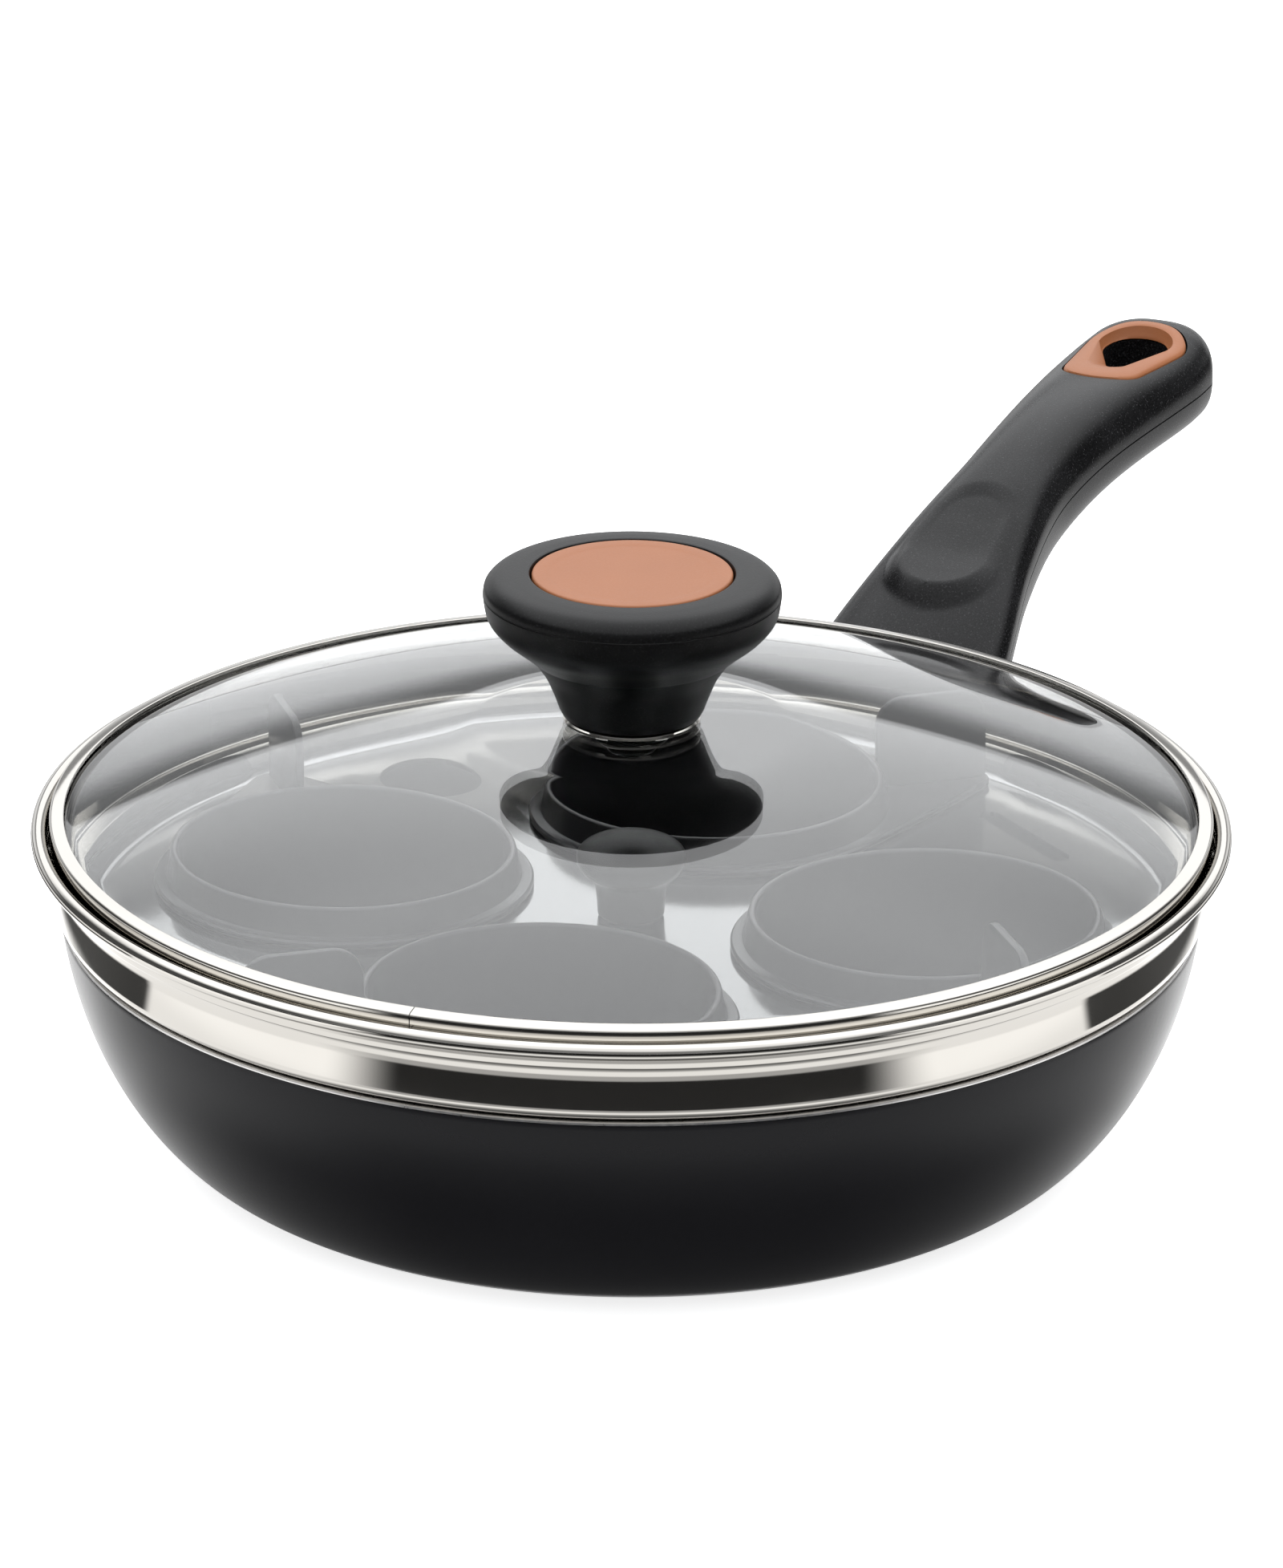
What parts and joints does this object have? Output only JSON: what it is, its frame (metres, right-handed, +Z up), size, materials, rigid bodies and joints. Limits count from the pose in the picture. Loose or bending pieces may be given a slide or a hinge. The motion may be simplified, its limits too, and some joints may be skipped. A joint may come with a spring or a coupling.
{
  "type": "covered egg poaching pan",
  "caption": "Low black pan with a long curved handle, a steel tray hung on its rim, lift-out poaching cups with finger fins and a domed glass lid with a knob; steams eggs over water.",
  "frame": {"origin": "centre of the pan's flat underside, where it stands on the stove", "axes": "+Z up along the pan's axis, +X along the handle, +Y to the left of the handle"},
  "size_m": [0.3604, 0.2128, 0.1036],
  "materials": {
    "pan_coating": "satin black non-stick coating on aluminium",
    "handle_plastic": "charcoal heat-proof plastic, fine grain",
    "knob_plastic": "black heat-proof plastic, fine grain",
    "copper_plastic": "copper-coloured inlay, satin",
    "polished_steel": "mirror-polished stainless steel",
    "plain_steel": "plain steel",
    "cup_plastic": "black moulded, satin",
    "seal_rubber": "grey silicone",
    "lid_glass": "clear tempered glass"
  },
  "bodies": {
    "pan": {"pan_body": "pan_coating", "handle_upper": "handle_plastic", "handle_lower": "handle_plastic", "handle_hang_ring": "copper_plastic", "handle_bracket": "plain_steel", "handle_screw": "plain_steel"},
    "tray_unit": {"tray": "polished_steel", "tray_knob": "knob_plastic", "tray_knob_washer": "plain_steel", "tray_knob_screw": "plain_steel"},
    "lid": {"lid_glass": "lid_glass", "lid_rim_band": "polished_steel", "lid_knob": "knob_plastic", "lid_knob_disc": "copper_plastic", "lid_knob_ferrule": "polished_steel", "lid_knob_gasket": "seal_rubber", "lid_knob_washer": "plain_steel", "lid_knob_screw": "plain_steel"},
    "first_cup": {"cup_1": "cup_plastic"},
    "second_cup": {"cup_2": "cup_plastic"},
    "third_cup": {"cup_3": "cup_plastic"},
    "fourth_cup": {"cup_4": "cup_plastic"}
  },
  "joints": [
    {"name": "tray_lift", "type": "slide", "parent": "pan", "child": "tray_unit", "axis": [0, 0, 1], "range_m": [0, 0.12]},
    {"name": "lid_lift", "type": "slide", "parent": "tray_unit", "child": "lid", "axis": [0, 0, 1], "range_m": [0, 0.16]},
    {"name": "first_cup_lift", "type": "slide", "parent": "tray_unit", "child": "first_cup", "axis": [0, 0, 1], "range_m": [0, 0.064]},
    {"name": "second_cup_lift", "type": "slide", "parent": "tray_unit", "child": "second_cup", "axis": [0, 0, 1], "range_m": [0, 0.064]},
    {"name": "third_cup_lift", "type": "slide", "parent": "tray_unit", "child": "third_cup", "axis": [0, 0, 1], "range_m": [0, 0.064]},
    {"name": "fourth_cup_lift", "type": "slide", "parent": "tray_unit", "child": "fourth_cup", "axis": [0, 0, 1], "range_m": [0, 0.064]}
  ],
  "couplings": [
    {"joint": "first_cup_lift", "follows": "lid_lift", "ratio": 0.4},
    {"joint": "second_cup_lift", "follows": "lid_lift", "ratio": 0.4},
    {"joint": "third_cup_lift", "follows": "lid_lift", "ratio": 0.4},
    {"joint": "fourth_cup_lift", "follows": "lid_lift", "ratio": 0.4}
  ]
}
